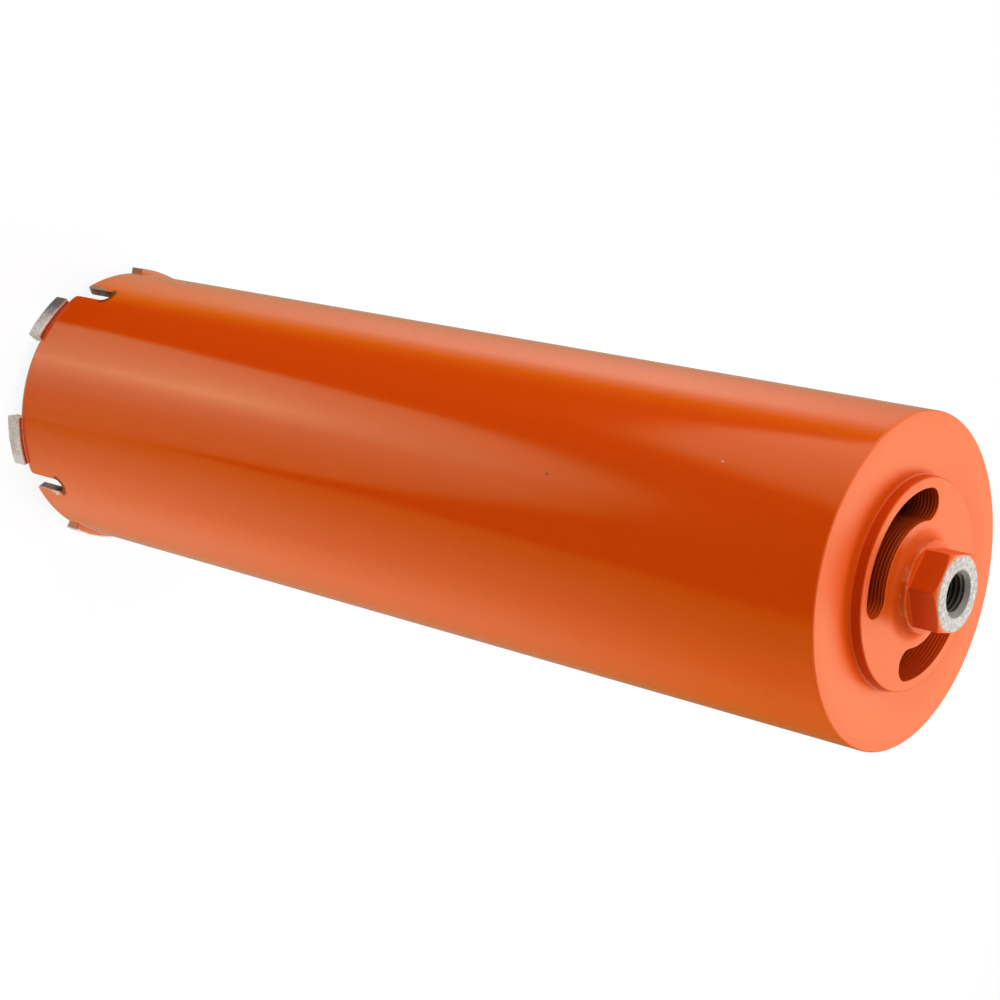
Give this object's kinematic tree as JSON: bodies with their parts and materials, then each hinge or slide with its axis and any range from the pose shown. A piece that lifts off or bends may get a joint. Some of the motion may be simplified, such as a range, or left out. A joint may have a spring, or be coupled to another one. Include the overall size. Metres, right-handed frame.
{
  "type": "diamond core bit",
  "caption": "Tubular masonry core bit with diamond segments on its open rim, relief slots, and an end plate with a threaded hexagonal hub.",
  "frame": {"origin": "centre of the cutting rim, in the plane of the segment tips that it stands on", "axes": "+Z along the axis of the bit from the cutting rim to the threaded hub; +X midway between the two segments of the close pair at the front; +Y completes a right-handed set"},
  "size_m": [0.129, 0.1334, 0.4674],
  "materials": {
    "painted_steel": "gloss orange paint on steel",
    "painted_hub": "gloss orange paint, ground bare on the end face",
    "segment_metal": "matt sintered metal with grit"
  },
  "bodies": {
    "root": {"barrel": "painted_steel", "end_plate": "painted_steel", "hub": "painted_hub", "segment_1": "segment_metal", "segment_2": "segment_metal", "segment_3": "segment_metal", "segment_4": "segment_metal", "segment_5": "segment_metal", "segment_6": "segment_metal"}
  },
  "joints": []
}
